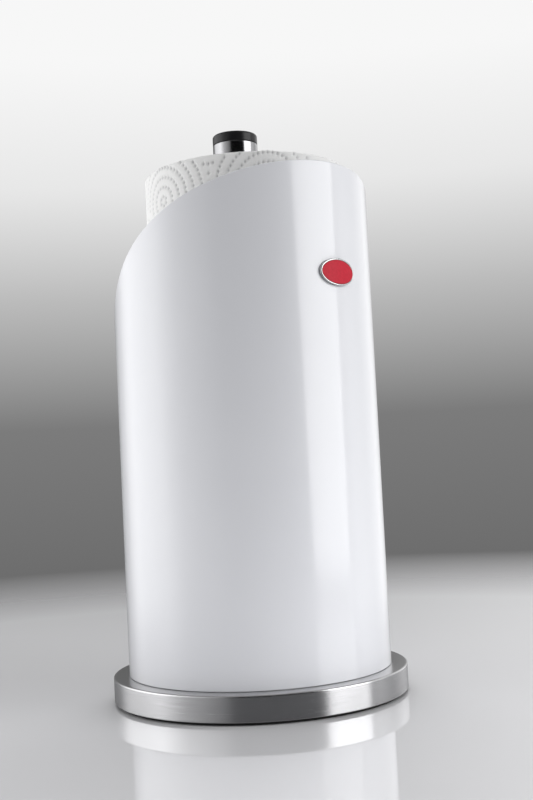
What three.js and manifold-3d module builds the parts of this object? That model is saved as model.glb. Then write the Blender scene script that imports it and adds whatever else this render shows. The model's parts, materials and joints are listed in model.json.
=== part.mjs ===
// Countertop paper towel holder: a weighted round steel base, a steel post with a plastic cap,
// and a white sheet-steel shell with an arched edge, loaded with one roll of kitchen towel.
// Millimetres. +Z is up, the origin is on the counter under the post, the badge faces -Y and
// the slot that the paper is drawn through faces +Y.
import * as THREE from 'three';
import { mergeVertices } from 'three/addons/utils/BufferGeometryUtils.js';
import Module from 'manifold-3d';

const wasm = await Module();
wasm.setup();

// ---- driving dimensions ----

const GAP = 0.3; // clearance between pieces that touch

// base
const BASE_RADIUS = 80;
const BASE_TOP = 14.6;
const BASE_EDGE_RADIUS = 0.9;
const COVER_SHEET = 0.8;
const MAT_RADIUS = 77.5;
const MAT_THICKNESS = 1.5;
const BALLAST_THICKNESS = 5;
const CLOSING_SHEET = 2;
const RIM_WIDTH = 2.5;
const RIB_INNER_RADIUS = 58;
const RIB_OUTER_RADIUS = 66;
const BOLT_WINDOW_RADIUS = 14;

// post
const POST_RADIUS = 12.5;
const POST_WALL = 1;
const POST_TOP = 304.2;
const CAP_TOP = 310;
const CAP_EDGE_RADIUS = 1.8;
const CAP_SPIGOT_LENGTH = 12;
const SPIGOT_RADIUS = POST_RADIUS - POST_WALL - GAP;
const POST_FOOT_LENGTH = 28;
const BOLT_RADIUS = 3;
const BOLT_HOLE_RADIUS = BOLT_RADIUS + 0.6;

// seat under the roll
const SEAT_RADIUS = 45;
const SEAT_TOP = 22.5;
const SEAT_WEB = 2;

// shell, cut from flat sheet as a half disc on a low band, then rolled round the roll
const SHELL_RADIUS = 71.5;
const SHELL_SHEET = 1;
const SHELL_BOTTOM = BASE_TOP + GAP;
const SHELL_TOP = 279;
const ARCH_RADIUS = 207.2; // of the half disc, on the flat sheet
const SHELL_COLUMNS = 84;
const SHELL_MID_RADIUS = SHELL_RADIUS - SHELL_SHEET / 2;
const SHELL_INNER_RADIUS = SHELL_RADIUS - SHELL_SHEET;

// shell brackets and their screws
const BRACKET_ANGLES = { front_left: -45, front_right: 45, back_right: 140, back_left: -140 };
const BRACKET_SHEET = 1.2;
const BRACKET_WIDTH = 14;
const BRACKET_LENGTH = 12;
const BRACKET_HEIGHT = 6;
const BRACKET_OUTER_RADIUS = 69.7;
const SHELL_SCREW_RING = 63;
const CLOSING_SCREW_RING = 62;
const CLOSING_SCREW_ANGLES = [0, 120, 240];

// towel roll: its core is wider than the post, so the roll hangs to one side of it
const ROLL_RADIUS = 56;
const ROLL_LENGTH = 260;
const CORE_BORE_RADIUS = 21.5;
const CORE_WALL = 1;
const ROLL_OFFSET = 8.5;
const ROLL_OFFSET_ANGLE = -7; // from the badge's direction
const ROLL_BOTTOM = SEAT_TOP + GAP;

// badge on the shell's front
const BADGE_HEIGHT = 221.4;
const BADGE_HALF_WIDTH = 12.6;
const BADGE_HALF_HEIGHT = 7.2;
const BADGE_BACK = 0.5;
const BADGE_RIM_WIDTH = 1.1;
const BADGE_RIM_RISE = 0.7;
const ENAMEL_THICKNESS = 0.3;
const BADGE_PIN_RADIUS = 1;
const BADGE_PIN_ANGLE = 6.4;
const BADGE_PIN_END = 68.4;
const BADGE_BACK_RADIUS = SHELL_RADIUS + GAP;
const BADGE_FLOOR_RADIUS = BADGE_BACK_RADIUS + BADGE_BACK;
const BADGE_RIM_RADIUS = BADGE_FLOOR_RADIUS + BADGE_RIM_RISE;

// levels of the pieces inside the base, from the cover's underside down
const COVER_UNDERSIDE = BASE_TOP - COVER_SHEET;
const BALLAST_TOP = COVER_UNDERSIDE - GAP;
const BALLAST_BOTTOM = BALLAST_TOP - BALLAST_THICKNESS;
const CLOSING_TOP = BALLAST_BOTTOM - GAP;
const CLOSING_BOTTOM = MAT_THICKNESS + GAP;
const COVER_INNER_RADIUS = BASE_RADIUS - COVER_SHEET;
const POST_BOTTOM = BASE_TOP + GAP + SEAT_WEB + GAP;

// ---- materials ----

const finish = (color, roughness, metalness) =>
  new THREE.MeshStandardMaterial({ color, roughness, metalness });
const BRUSHED_STEEL = finish(0xb9b9bc, 0.32, 1);
const ZINC_STEEL = finish(0xa8abb0, 0.45, 1);
const IRON = finish(0x4a4b4d, 0.7, 0.9);
const WHITE_ENAMEL = finish(0xf1f2f4, 0.12, 0);
const BLACK_PLASTIC = finish(0x17171a, 0.35, 0);
const BLACK_RUBBER = finish(0x1c1c1e, 0.85, 0);
const TOWEL_PAPER = finish(0xf3f2ee, 0.95, 0);
const GREY_BOARD = finish(0xa99f8f, 0.9, 0);
const RED_ENAMEL = finish(0xc3151f, 0.15, 0);

// ---- geometry helpers ----

const radians = THREE.MathUtils.degToRad;

// A point on the plan at this radius and angle, the angle counted from -Y towards +X.
function around(radius, degrees) {
  const angle = radians(degrees);
  return [radius * Math.sin(angle), -radius * Math.cos(angle)];
}

// A body turned round the Z axis; the profile's points are [radius, height], anticlockwise.
function turned(profile, segments = 48) {
  const points = profile.map(([radius, height]) => new THREE.Vector2(radius, height));
  return new THREE.LatheGeometry(points, segments).rotateX(Math.PI / 2);
}

// A turned body with a bore: the profile is closed back onto its first point.
function ring(profile, segments) {
  return turned([...profile, profile[0]], segments);
}

function rod(radius, bottom, top, segments = 20) {
  return turned([[0, bottom], [radius, bottom], [radius, top], [0, top]], segments);
}

function tube(inner, outer, bottom, top, segments = 48) {
  return ring([[inner, bottom], [outer, bottom], [outer, top], [inner, top]], segments);
}

// Points of a rounded outer corner from the upright side in to the flat top.
function roundedCorner(radius, top, edge, steps = 4) {
  const points = [];
  for (let i = 0; i <= steps; i += 1) {
    const angle = (i / steps) * (Math.PI / 2);
    points.push([radius - edge + edge * Math.cos(angle), top - edge + edge * Math.sin(angle)]);
  }
  return points;
}

function toSolid(geometry) {
  const bare = geometry.clone();
  bare.deleteAttribute('normal');
  bare.deleteAttribute('uv');
  const merged = mergeVertices(bare, 1e-4);
  return new wasm.Manifold(new wasm.Mesh({
    numProp: 3,
    vertProperties: new Float32Array(merged.attributes.position.array),
    triVerts: new Uint32Array(merged.index.array),
  }));
}

function toGeometry(solid) {
  const { vertProperties, triVerts } = solid.getMesh();
  const geometry = new THREE.BufferGeometry();
  geometry.setAttribute('position', new THREE.BufferAttribute(vertProperties, 3));
  geometry.setIndex(new THREE.BufferAttribute(triVerts, 1));
  geometry.computeVertexNormals();
  return geometry;
}

// The body with each tool's shape taken out of it.
function cut(body, tools) {
  return toGeometry(tools.reduce((left, tool) => left.subtract(toSolid(tool)), toSolid(body)));
}

// An upright drill at a radius and angle on the plan.
function drill(radius, bottom, top, ringRadius, degrees) {
  return rod(radius, bottom, top, 16).translate(...around(ringRadius, degrees), 0);
}

function piece(name, geometry, material) {
  const mesh = new THREE.Mesh(geometry, material);
  mesh.name = name;
  return mesh;
}

// ---- fasteners ----

// A socket-head screw with its head standing on z = 0 and its shank pointing down.
function screw(name, { head, headHeight, shank, length }) {
  const chamfer = 0.4;
  const body = turned([
    [0, -length],
    [shank - chamfer, -length],
    [shank, chamfer - length],
    [shank, 0],
    [head, 0],
    [head, headHeight - chamfer],
    [head - chamfer, headHeight],
    [0, headHeight],
  ], 20);
  const hexSocket = rod(head / 2, headHeight * 0.4, headHeight + 1, 6);
  return piece(name, cut(body, [hexSocket]), ZINC_STEEL);
}

const SHELL_SCREW = { head: 2.8, headHeight: 1.9, shank: 1.6, length: 6.6 };
const CLOSING_SCREW = { head: 3.5, headHeight: 2.2, shank: 1.9, length: 8.4 };
const CLOSING_SCREW_SEAT = CLOSING_BOTTOM + GAP + CLOSING_SCREW.headHeight;
const BOLT = { head: 5.2, headHeight: 3, shank: BOLT_RADIUS, length: 30 };
const WASHER = { radius: 7, thickness: 1 };
const SPRING_WASHER = { radius: 5.2, thickness: 1.2, split: 1, splitAngle: 30 };
const PUSH_NUT = { radius: 3.2, thickness: 0.6, standOff: 0.7 };

function shellScrew(label, degrees) {
  const mesh = screw(`shell_screw_${label}`, SHELL_SCREW);
  const underHead = BASE_TOP + GAP + BRACKET_SHEET + GAP;
  mesh.position.set(...around(SHELL_SCREW_RING, degrees), underHead);
  return mesh;
}

function closingScrew(number, degrees) {
  const mesh = screw(`closing_screw_${number}`, CLOSING_SCREW);
  mesh.position.set(...around(CLOSING_SCREW_RING, degrees), CLOSING_SCREW_SEAT);
  mesh.rotation.x = Math.PI;
  return mesh;
}

// ---- base ----

function baseCover() {
  const insideTop = COVER_UNDERSIDE;
  const body = ring([
    [BOLT_HOLE_RADIUS, insideTop],
    [COVER_INNER_RADIUS - 0.5, insideTop],
    [COVER_INNER_RADIUS, insideTop - 0.5],
    [COVER_INNER_RADIUS, MAT_THICKNESS],
    [BASE_RADIUS, MAT_THICKNESS],
    ...roundedCorner(BASE_RADIUS, BASE_TOP, BASE_EDGE_RADIUS),
    [BOLT_HOLE_RADIUS, BASE_TOP],
  ], 72);
  const holes = Object.values(BRACKET_ANGLES).map((degrees) =>
    drill(SHELL_SCREW.shank + GAP, insideTop - 1, BASE_TOP + 1, SHELL_SCREW_RING, degrees));
  return piece('base_cover', cut(body, holes), BRUSHED_STEEL);
}

function ballastDisc() {
  const outer = COVER_INNER_RADIUS - 2 * GAP;
  const body = tube(BOLT_HOLE_RADIUS, outer, BALLAST_BOTTOM, BALLAST_TOP, 64);
  const bottom = BALLAST_BOTTOM - 1;
  const top = BALLAST_TOP + 1;
  const shellHoles = Object.values(BRACKET_ANGLES).map((degrees) =>
    drill(SHELL_SCREW.shank + GAP, bottom, top, SHELL_SCREW_RING, degrees));
  const closingHoles = CLOSING_SCREW_ANGLES.map((degrees) =>
    drill(CLOSING_SCREW.shank + GAP, bottom, top, CLOSING_SCREW_RING, degrees));
  return piece('ballast_disc', cut(body, [...shellHoles, ...closingHoles]), IRON);
}

function closingPlate() {
  const outer = COVER_INNER_RADIUS - GAP;
  const floor = CLOSING_BOTTOM + CLOSING_SHEET;
  const body = ring([
    [BOLT_WINDOW_RADIUS, CLOSING_BOTTOM],
    [outer, CLOSING_BOTTOM],
    [outer, CLOSING_TOP],
    [outer - RIM_WIDTH, CLOSING_TOP],
    [outer - RIM_WIDTH, floor],
    [RIB_OUTER_RADIUS, floor],
    [RIB_OUTER_RADIUS, CLOSING_TOP],
    [RIB_INNER_RADIUS, CLOSING_TOP],
    [RIB_INNER_RADIUS, floor],
    [BOLT_WINDOW_RADIUS, floor],
  ], 64);
  const headRoom = CLOSING_SCREW_SEAT + GAP;
  const cuts = CLOSING_SCREW_ANGLES.flatMap((degrees) => [
    drill(CLOSING_SCREW.head + GAP, 0, headRoom, CLOSING_SCREW_RING, degrees),
    drill(CLOSING_SCREW.shank + GAP, 0, CLOSING_TOP + 1, CLOSING_SCREW_RING, degrees),
  ]);
  return piece('closing_plate', cut(body, cuts), BLACK_PLASTIC);
}

function antiSlipMat() {
  return piece('anti_slip_mat', rod(MAT_RADIUS, 0, MAT_THICKNESS, 72), BLACK_RUBBER);
}

// ---- post ----

function postTube() {
  const geometry = tube(POST_RADIUS - POST_WALL, POST_RADIUS, POST_BOTTOM, POST_TOP, 48);
  return piece('post_tube', geometry, BRUSHED_STEEL);
}

function postCap() {
  const headBottom = POST_TOP + GAP;
  const spigotBottom = headBottom - CAP_SPIGOT_LENGTH;
  const geometry = turned([
    [0, spigotBottom],
    [SPIGOT_RADIUS - 1, spigotBottom],
    [SPIGOT_RADIUS, spigotBottom + 1],
    [SPIGOT_RADIUS, headBottom],
    [POST_RADIUS, headBottom],
    ...roundedCorner(POST_RADIUS, CAP_TOP, CAP_EDGE_RADIUS),
    [0, CAP_TOP],
  ], 48);
  return piece('post_cap', geometry, BLACK_PLASTIC);
}

function postFoot() {
  const top = POST_BOTTOM + POST_FOOT_LENGTH;
  const threadEnd = POST_BOTTOM + POST_FOOT_LENGTH * 0.75;
  const geometry = turned([
    [0, threadEnd],
    [BOLT_RADIUS + GAP, threadEnd],
    [BOLT_RADIUS + GAP, POST_BOTTOM],
    [SPIGOT_RADIUS, POST_BOTTOM],
    [SPIGOT_RADIUS, top],
    [0, top],
  ], 32);
  return piece('post_foot', geometry, ZINC_STEEL);
}

// Bolt and washers, clamped up against the ballast's underside.
function postFastening() {
  const bore = BOLT_RADIUS + GAP;
  const washerBottom = BALLAST_BOTTOM - GAP - WASHER.thickness;
  const springTop = washerBottom - GAP;
  const springBottom = springTop - SPRING_WASHER.thickness;
  const washer = tube(bore, WASHER.radius, washerBottom, washerBottom + WASHER.thickness, 32);
  const spring = tube(bore, SPRING_WASHER.radius, springBottom, springTop, 32);
  const split = new THREE.BoxGeometry(SPRING_WASHER.split, bore, 2 * bore);
  split.rotateY(radians(SPRING_WASHER.splitAngle));
  split.translate(0, (bore + SPRING_WASHER.radius) / 2, (springTop + springBottom) / 2);
  const bolt = screw('post_bolt', BOLT);
  bolt.rotation.x = Math.PI;
  bolt.position.z = springBottom - GAP;
  return [
    bolt,
    piece('post_washer', washer, ZINC_STEEL),
    piece('post_spring_washer', cut(spring, [split]), ZINC_STEEL),
  ];
}

function rollSeat() {
  const bottom = BASE_TOP + GAP;
  const web = bottom + SEAT_WEB;
  const bore = POST_RADIUS + GAP;
  const chamfer = 0.8;
  const geometry = ring([
    [BOLT_HOLE_RADIUS, bottom],
    [SEAT_RADIUS, bottom],
    [SEAT_RADIUS, SEAT_TOP - chamfer],
    [SEAT_RADIUS - chamfer, SEAT_TOP],
    [bore, SEAT_TOP],
    [bore, web],
    [BOLT_HOLE_RADIUS, web],
  ], 56);
  return piece('roll_seat', geometry, BLACK_PLASTIC);
}

// ---- shell ----

function badgePinHole(degrees) {
  const bore = rod(BADGE_PIN_RADIUS + GAP, SHELL_INNER_RADIUS - 2, SHELL_RADIUS + 2, 12);
  return bore.rotateX(Math.PI / 2).rotateZ(radians(degrees)).translate(0, 0, BADGE_HEIGHT);
}

// A block with one row of columns, bent round the post's axis. Along it the columns stand at
// equal steps of the arch's own angle, so they crowd together where the arch falls steeply.
function shell() {
  const block = new THREE.BoxGeometry(2, 1, 1, SHELL_COLUMNS, 1, 1);
  const archCentre = SHELL_TOP - ARCH_RADIUS;
  const corners = block.attributes.position;
  for (let i = 0; i < corners.count; i += 1) {
    const archAngle = corners.getX(i) * (Math.PI / 2);
    const isTop = corners.getY(i) > 0;
    const isOuter = corners.getZ(i) > 0;
    const bend = (ARCH_RADIUS * Math.sin(archAngle)) / SHELL_MID_RADIUS;
    const radius = isOuter ? SHELL_RADIUS : SHELL_INNER_RADIUS;
    const edge = archCentre + ARCH_RADIUS * Math.cos(archAngle);
    const height = isTop ? edge : SHELL_BOTTOM;
    corners.setXYZ(i, radius * Math.sin(bend), -radius * Math.cos(bend), height);
  }
  const holes = [-BADGE_PIN_ANGLE, BADGE_PIN_ANGLE].map(badgePinHole);
  return piece('shell', cut(block, holes), WHITE_ENAMEL);
}

// An angle bracket inside the shell's foot, seen in profile from its side, then swung into place.
function shellBracket(label, degrees) {
  const profile = new THREE.Shape([
    [0, 0],
    [BRACKET_LENGTH, 0],
    [BRACKET_LENGTH, BRACKET_HEIGHT],
    [BRACKET_LENGTH - BRACKET_SHEET, BRACKET_HEIGHT],
    [BRACKET_LENGTH - BRACKET_SHEET, BRACKET_SHEET],
    [0, BRACKET_SHEET],
  ].map(([x, y]) => new THREE.Vector2(x, y)));
  const strip = new THREE.ExtrudeGeometry(profile, { depth: BRACKET_WIDTH, bevelEnabled: false });
  strip.translate(BRACKET_OUTER_RADIUS - BRACKET_LENGTH, 0, -BRACKET_WIDTH / 2);
  strip.rotateX(Math.PI / 2);
  const hole = rod(SHELL_SCREW.shank + GAP, -1, BRACKET_SHEET + 1, 16);
  hole.translate(SHELL_SCREW_RING, 0, 0);
  const mesh = piece(`shell_bracket_${label}`, cut(strip, [hole]), ZINC_STEEL);
  mesh.rotation.z = radians(degrees - 90);
  mesh.position.z = BASE_TOP + GAP;
  return mesh;
}

// ---- towel roll ----

function towelRoll() {
  const group = new THREE.Group();
  group.position.set(...around(ROLL_OFFSET, ROLL_OFFSET_ANGLE), ROLL_BOTTOM);
  const coreRadius = CORE_BORE_RADIUS + CORE_WALL;
  const core = tube(CORE_BORE_RADIUS, coreRadius, 0, ROLL_LENGTH, 56);
  const paper = tube(coreRadius + GAP, ROLL_RADIUS, 0, ROLL_LENGTH, 80);
  group.add(piece('cardboard_core', core, GREY_BOARD), piece('paper_roll', paper, TOWEL_PAPER));
  return group;
}

// ---- badge ----

// A curved tile between two radii with an oval outline, facing -Y at z = 0.
function ovalTile(innerRadius, outerRadius, halfWidth, halfHeight) {
  const oval = new THREE.Shape().absellipse(0, 0, halfWidth, halfHeight, 0, Math.PI * 2);
  const prism = new THREE.ExtrudeGeometry(oval, {
    depth: outerRadius + GAP,
    bevelEnabled: false,
    curveSegments: 16,
  });
  prism.rotateX(Math.PI / 2);
  const hoop = tube(innerRadius, outerRadius, -halfHeight - 1, halfHeight + 1, 180);
  return toSolid(hoop).intersect(toSolid(prism));
}

function badgePin(degrees) {
  const pin = rod(BADGE_PIN_RADIUS, BADGE_PIN_END, BADGE_BACK_RADIUS + BADGE_BACK / 2, 12);
  return toSolid(pin.rotateX(Math.PI / 2).rotateZ(radians(degrees)));
}

function badgePlate() {
  const innerWidth = BADGE_HALF_WIDTH - BADGE_RIM_WIDTH;
  const innerHeight = BADGE_HALF_HEIGHT - BADGE_RIM_WIDTH;
  const blank = ovalTile(BADGE_BACK_RADIUS, BADGE_RIM_RADIUS, BADGE_HALF_WIDTH, BADGE_HALF_HEIGHT);
  const recess = ovalTile(BADGE_FLOOR_RADIUS, BADGE_RIM_RADIUS + 1, innerWidth, innerHeight);
  const tray = blank.subtract(recess);
  const pinned = tray.add(badgePin(-BADGE_PIN_ANGLE)).add(badgePin(BADGE_PIN_ANGLE));
  const mesh = piece('badge_plate', toGeometry(pinned), BRUSHED_STEEL);
  mesh.position.z = BADGE_HEIGHT;
  return mesh;
}

function badgeEnamel() {
  const inset = BADGE_RIM_WIDTH + GAP;
  const back = BADGE_FLOOR_RADIUS + GAP;
  const halfWidth = BADGE_HALF_WIDTH - inset;
  const halfHeight = BADGE_HALF_HEIGHT - inset;
  const tile = ovalTile(back, back + ENAMEL_THICKNESS, halfWidth, halfHeight);
  const mesh = piece('badge_enamel', toGeometry(tile), RED_ENAMEL);
  mesh.position.z = BADGE_HEIGHT;
  return mesh;
}

// The spring clips that hold the badge's pins inside the shell.
function pushNut(label, degrees) {
  const outer = SHELL_INNER_RADIUS - PUSH_NUT.standOff;
  const nut = tube(BADGE_PIN_RADIUS + GAP, PUSH_NUT.radius, outer - PUSH_NUT.thickness, outer, 16);
  const mesh = piece(`push_nut_${label}`, nut.rotateX(Math.PI / 2), ZINC_STEEL);
  mesh.rotation.z = radians(degrees);
  mesh.position.z = BADGE_HEIGHT;
  return mesh;
}

// ---- assembly ----

const holder = new THREE.Group();
holder.add(
  baseCover(),
  ballastDisc(),
  closingPlate(),
  antiSlipMat(),
  ...CLOSING_SCREW_ANGLES.map((degrees, i) => closingScrew(i + 1, degrees)),
  postTube(),
  postCap(),
  postFoot(),
  ...postFastening(),
  rollSeat(),
  shell(),
  ...Object.entries(BRACKET_ANGLES).map(([label, degrees]) => shellBracket(label, degrees)),
  ...Object.entries(BRACKET_ANGLES).map(([label, degrees]) => shellScrew(label, degrees)),
  badgePlate(),
  badgeEnamel(),
  pushNut('left', -BADGE_PIN_ANGLE),
  pushNut('right', BADGE_PIN_ANGLE),
  towelRoll(),
);

export default holder;
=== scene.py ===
"""Looks of a countertop paper towel holder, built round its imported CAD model.

Metres, +Z up. The badge faces -Y and the slot for the paper faces +Y. Angles on the plan are
counted from -Y towards +X. The pieces take their places from the CAD nodes' boxes.
"""

import json
import math

import bmesh
import bpy
import numpy as np
from mathutils import Matrix, Vector


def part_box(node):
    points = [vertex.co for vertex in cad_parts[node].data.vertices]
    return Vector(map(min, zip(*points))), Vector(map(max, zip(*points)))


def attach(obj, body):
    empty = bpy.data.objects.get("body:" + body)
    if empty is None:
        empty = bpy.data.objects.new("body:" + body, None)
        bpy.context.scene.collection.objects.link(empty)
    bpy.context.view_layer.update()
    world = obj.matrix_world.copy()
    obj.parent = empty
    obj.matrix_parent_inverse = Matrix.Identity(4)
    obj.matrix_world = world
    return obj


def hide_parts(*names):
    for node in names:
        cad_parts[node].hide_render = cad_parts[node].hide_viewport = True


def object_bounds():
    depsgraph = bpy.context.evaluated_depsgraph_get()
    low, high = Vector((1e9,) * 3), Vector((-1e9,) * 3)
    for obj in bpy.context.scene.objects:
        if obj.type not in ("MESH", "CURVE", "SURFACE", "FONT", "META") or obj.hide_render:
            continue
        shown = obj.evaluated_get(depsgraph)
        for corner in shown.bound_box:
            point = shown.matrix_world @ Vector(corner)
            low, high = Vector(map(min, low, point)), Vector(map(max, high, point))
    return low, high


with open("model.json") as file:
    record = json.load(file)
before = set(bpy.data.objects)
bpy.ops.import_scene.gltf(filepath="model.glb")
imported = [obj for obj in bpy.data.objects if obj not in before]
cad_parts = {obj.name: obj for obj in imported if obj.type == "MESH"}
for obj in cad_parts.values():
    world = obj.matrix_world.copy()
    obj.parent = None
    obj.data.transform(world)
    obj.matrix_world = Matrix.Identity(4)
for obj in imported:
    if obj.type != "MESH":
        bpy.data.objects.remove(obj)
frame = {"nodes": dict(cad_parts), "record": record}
cad_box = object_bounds()

MM = 0.001
TURN = 2 * math.pi
CAD_GAP = 0.3 * MM  # what the CAD leaves between pieces that touch


# ---- camera ----

CAMERA_AZIMUTH = math.radians(-43.49)
CAMERA_DISTANCE = 0.63455
CAMERA_HEIGHT = 0.12456
CAMERA_LENS = 51.41  # millimetres
CAMERA_TILT = 0.0564  # this and the next two in radians
CAMERA_PAN = 0.0165
CAMERA_ROLL = -0.0503


def around(radius, angle, height=0.0):
    """The point at this radius and angle on the plan."""
    return Vector((radius * math.sin(angle), -radius * math.cos(angle), height))


def place_camera():
    """The camera stands low and close, at the photograph's viewing angle."""
    data = bpy.data.cameras.new("camera")
    data.lens = CAMERA_LENS
    camera = bpy.data.objects.new("camera", data)
    heading = Matrix.Rotation(CAMERA_AZIMUTH - CAMERA_PAN, 3, "Z")
    tilt = Matrix.Rotation(math.pi / 2 + CAMERA_TILT, 3, "X")
    roll = Matrix.Rotation(CAMERA_ROLL, 3, "Z")
    camera.rotation_euler = (heading @ tilt @ roll).to_euler()
    camera.location = around(CAMERA_DISTANCE, CAMERA_AZIMUTH, CAMERA_HEIGHT)
    bpy.context.scene.collection.objects.link(camera)
    bpy.context.scene.camera = camera


# ---- mesh tools ----


def add_mesh(name, points, faces):
    """A smooth-shaded object from points and faces, its normals turned outwards."""
    mesh = bpy.data.meshes.new(name)
    mesh.from_pydata([tuple(p) for p in points], [], [tuple(f) for f in faces])
    build = bmesh.new()
    build.from_mesh(mesh)
    bmesh.ops.recalc_face_normals(build, faces=build.faces)
    build.to_mesh(mesh)
    build.free()
    mesh.shade_smooth()
    piece = bpy.data.objects.new(name, mesh)
    bpy.context.scene.collection.objects.link(piece)
    return piece


def strip(one, other, closed=True):
    """Quads between two rows of point numbers."""
    count = len(one) if closed else len(one) - 1
    follow = [(i + 1) % len(one) for i in range(count)]
    return [(one[i], one[j], other[j], other[i]) for i, j in enumerate(follow)]


def bands(total, size):
    """Quads between each ring of points and the next, where all rings have the same size."""
    faces = []
    for first in range(0, total - size, size):
        faces += strip(range(first, first + size), range(first + size, first + 2 * size))
    return faces


def fillet(corner, legs, radius, steps, support):
    """The arc that rounds a corner between its two legs, with a support point on either side.

    The supports make the flats beside the arc shade flat. A leg too short for one has none.
    """
    lengths = [np.linalg.norm(leg) for leg in legs]
    back, ahead = (leg / length for leg, length in zip(legs, lengths))
    half = math.acos(np.clip(back @ ahead, -1, 1)) / 2
    reach = radius / math.tan(half)
    bisector = (back + ahead) / np.linalg.norm(back + ahead)
    centre = corner + bisector * radius / math.sin(half)
    start, end = corner + back * reach - centre, corner + ahead * reach - centre
    sweep = math.pi - 2 * half
    arc = []
    if lengths[0] > 2 * (reach + support):
        arc.append(corner + back * (reach + support))
    for step in range(steps + 1):
        share = step / steps
        weights = math.sin((1 - share) * sweep), math.sin(share * sweep)
        arc.append(centre + (start * weights[0] + end * weights[1]) / math.sin(sweep))
    if lengths[1] > 2 * (reach + support):
        arc.append(corner + ahead * (reach + support))
    return arc


def rounded(corners, steps=5, support=0.4 * MM):
    """The closed profile through (radius, height) or (radius, height, fillet) corners."""
    places = [np.array(corner[:2]) for corner in corners]
    profile = []
    for i, corner in enumerate(corners):
        if len(corner) == 2:
            profile.append(places[i])
            continue
        legs = places[i - 1] - places[i], places[(i + 1) % len(places)] - places[i]
        profile += fillet(places[i], legs, corner[2], steps, support)
    return profile


def turned(name, profile, segments, axis=(0, 0), closed=True):
    """A body turned round an upright axis from a profile of (radius, height)."""
    points, rings = [], []
    for radius, height in profile:
        count = segments if radius > 0 else 1
        rings.append([len(points) + i % count for i in range(segments)])
        for i in range(count):
            point = around(radius, i * TURN / segments, height)
            points.append(point + Vector((*axis, 0)))
    following = rings[1:] + (rings[:1] if closed else [])
    faces = []
    for one, other in zip(rings, following):
        for quad in strip(one, other):
            face = tuple(dict.fromkeys(quad))
            if len(face) > 2:
                faces.append(face)
    return add_mesh(name, points, faces)


def middle(node):
    """The point on the plan at the middle of a CAD node, and half its width."""
    low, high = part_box(node)
    return ((low.x + high.x) / 2, (low.y + high.y) / 2), (high.x - low.x) / 2


def tube(name, node, wall, edges, segments):
    """A CAD node's tube. Its edges are rounded: foot inside and outside, top outside and inside."""
    low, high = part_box(node)
    centre, outer = middle(node)
    radii = (outer - wall, outer, outer, outer - wall)
    heights = (low.z, low.z, high.z, high.z)
    return turned(name, rounded(list(zip(radii, heights, edges))), segments, centre)


# ---- base and post ----

BASE_SEGMENTS = 320
POST_SEGMENTS = 160
CAP_SEGMENTS = 128
FINE_EDGE = 0.2 * MM
POST_EDGE = 0.25 * MM
SMALL_EDGE = 0.3 * MM
MOULDED_EDGE = 0.4 * MM
COVER_SHEET = 0.8 * MM
COVER_SHOULDER = 0.9 * MM
COVER_FOLD = 0.5 * MM
BOLT_HOLE = 3.6 * MM
POST_WALL = 1 * MM
CAP_LEAD_IN = 1 * MM
CAP_SHOULDER = 1.3 * MM
CAP_DOME = 0.15 * MM
SEAT_WEB = 2 * MM
SEAT_SHOULDER = 1 * MM
SEAT_MOUTH = 0.5 * MM
CHANNEL_RADII = (38 * MM, 30 * MM, 22 * MM)
CHANNEL_DEPTH = 1 * MM
CHANNEL_HALF_TOP = 1.5 * MM
CHANNEL_HALF_FLOOR = 1 * MM


def base_cover():
    """The pressed cover: a flat drum, open below, with a hole for the post's bolt."""
    low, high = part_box("base_cover")
    outer, top = high.x, high.z
    inner, under = outer - COVER_SHEET, top - COVER_SHEET
    profile = rounded([
        (inner, low.z, SMALL_EDGE),
        (outer, low.z, SMALL_EDGE),
        (outer, top, COVER_SHOULDER),
        (BOLT_HOLE, top),
        (BOLT_HOLE, under),
        (inner, under, COVER_FOLD),
    ])
    return turned("base_skin", profile, BASE_SEGMENTS)


def post_tube():
    """The post, its upper edge broken a little more than the others."""
    edges = (FINE_EDGE, FINE_EDGE, POST_EDGE, FINE_EDGE)
    return tube("post_sleeve", "post_tube", POST_WALL, edges, POST_SEGMENTS)


def post_cap():
    """A pressed-in plug whose head has a rounded edge and a barely domed top."""
    low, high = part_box("post_cap")
    outer, top = high.x, high.z
    spigot = outer - POST_WALL - CAD_GAP
    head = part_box("post_tube")[1].z + CAD_GAP
    profile = rounded([
        (0, low.z),
        (spigot - CAP_LEAD_IN, low.z, SMALL_EDGE),
        (spigot, low.z + CAP_LEAD_IN, SMALL_EDGE),
        (spigot, head),
        (outer, head, FINE_EDGE),
        (outer, top - CAP_DOME, CAP_SHOULDER),
        (outer / 2, top - CAP_DOME / 4),
        (0, top),
    ], steps=8, support=0.2 * MM)
    return turned("cap_head", profile, CAP_SEGMENTS)


def seat_channels(top):
    """Corners of the round channels in the seat's top, from the outermost inwards."""
    corners = []
    for radius in CHANNEL_RADII:
        corners += [
            (radius + CHANNEL_HALF_TOP, top, MOULDED_EDGE),
            (radius + CHANNEL_HALF_FLOOR, top - CHANNEL_DEPTH, MOULDED_EDGE),
            (radius - CHANNEL_HALF_FLOOR, top - CHANNEL_DEPTH, MOULDED_EDGE),
            (radius - CHANNEL_HALF_TOP, top, MOULDED_EDGE),
        ]
    return corners


def roll_seat():
    """The moulded seat: the post stands in its bore, on a web that the bolt passes through."""
    low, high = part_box("roll_seat")
    outer, top = high.x, high.z
    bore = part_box("post_tube")[1].x + CAD_GAP
    web = low.z + SEAT_WEB
    profile = rounded([
        (BOLT_HOLE, low.z),
        (outer, low.z, MOULDED_EDGE),
        (outer, top, SEAT_SHOULDER),
        *seat_channels(top),
        (bore, top, SEAT_MOUTH),
        (bore, web),
        (BOLT_HOLE, web),
    ])
    return turned("seat_disc", profile, POST_SEGMENTS)


# ---- shell: a half disc on a low band, rolled up ----

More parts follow.
